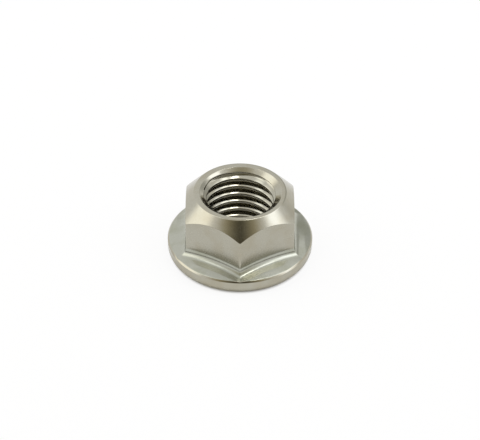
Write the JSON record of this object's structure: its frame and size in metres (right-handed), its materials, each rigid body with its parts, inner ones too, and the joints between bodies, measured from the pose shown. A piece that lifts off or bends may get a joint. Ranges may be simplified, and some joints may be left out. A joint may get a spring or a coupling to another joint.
{
  "type": "exhaust manifold flange nut",
  "caption": "Steel hexagon nut with a fixed round flange and a through thread, made to clamp an exhaust manifold onto its stud.",
  "frame": {"origin": "centre of the bearing face, on the thread axis", "axes": "+Z along the thread axis, from the bearing face to the chamfered top; one corner of the hexagon points to -Y"},
  "size_m": [0.019, 0.019, 0.0094],
  "materials": {
    "plated_steel": "satin zinc plate, slightly warm grey, turned on the top and the flange"
  },
  "bodies": {
    "root": {"flange_nut": "plated_steel"}
  },
  "joints": []
}
